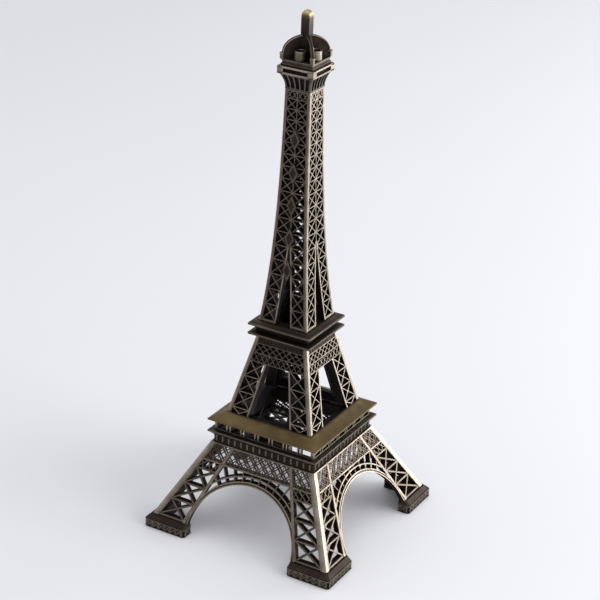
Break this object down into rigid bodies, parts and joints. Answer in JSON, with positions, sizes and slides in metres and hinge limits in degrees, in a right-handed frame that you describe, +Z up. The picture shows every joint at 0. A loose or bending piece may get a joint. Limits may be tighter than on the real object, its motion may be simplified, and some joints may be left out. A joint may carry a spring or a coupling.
{
  "type": "miniature lattice tower souvenir",
  "caption": "Free-standing miniature of a tapering four-legged lattice tower with arches, two decks, a slim shaft and a crown with a mast, in antique bronze finish",
  "frame": {"origin": "on the surface it stands on, at the tower's vertical axis", "axes": "+Z up along the tower; -Y is the front, the side with the ornaments; the feet are square to X and Y"},
  "size_m": [0.1012, 0.1012, 0.25],
  "materials": {
    "bronze": "antique bronze plating, dark in the recesses, brushed brighter on raised edges",
    "brass_rubbed": "antique plating rubbed through to a golden brass tone, satin",
    "dark_bronze": "dark antique bronze, nearly black, satin"
  },
  "bodies": {
    "root": {"foot_plinth_front_left": "bronze", "foot_plinth_front_right": "bronze", "foot_plinth_back_right": "bronze", "foot_plinth_back_left": "bronze", "base_panel_front": "bronze", "base_panel_right": "bronze", "base_panel_back": "bronze", "base_panel_left": "bronze", "first_cornice": "bronze", "gallery_wall_front": "bronze", "gallery_wall_right": "bronze", "gallery_wall_back": "bronze", "gallery_wall_left": "bronze", "first_deck_plate": "brass_rubbed", "middle_panel_front": "bronze", "middle_panel_right": "bronze", "middle_panel_back": "bronze", "middle_panel_left": "bronze", "second_deck_cornice": "bronze", "second_deck_band": "dark_bronze", "second_deck_plate": "bronze", "shaft_panel_front": "bronze", "shaft_panel_right": "bronze", "shaft_panel_back": "bronze", "shaft_panel_left": "bronze", "shaft_ornament_1": "bronze", "shaft_ornament_2": "bronze", "shaft_ornament_3": "bronze", "shaft_ornament_4": "bronze", "shaft_ornament_5": "bronze", "crown_corbel": "dark_bronze", "crown_platform": "bronze", "crown_plinth": "bronze", "crown_arches": "bronze", "crown_drum_front": "bronze", "crown_drum_right": "bronze", "crown_drum_back": "bronze", "crown_drum_left": "bronze", "mast": "brass_rubbed"}
  },
  "joints": []
}
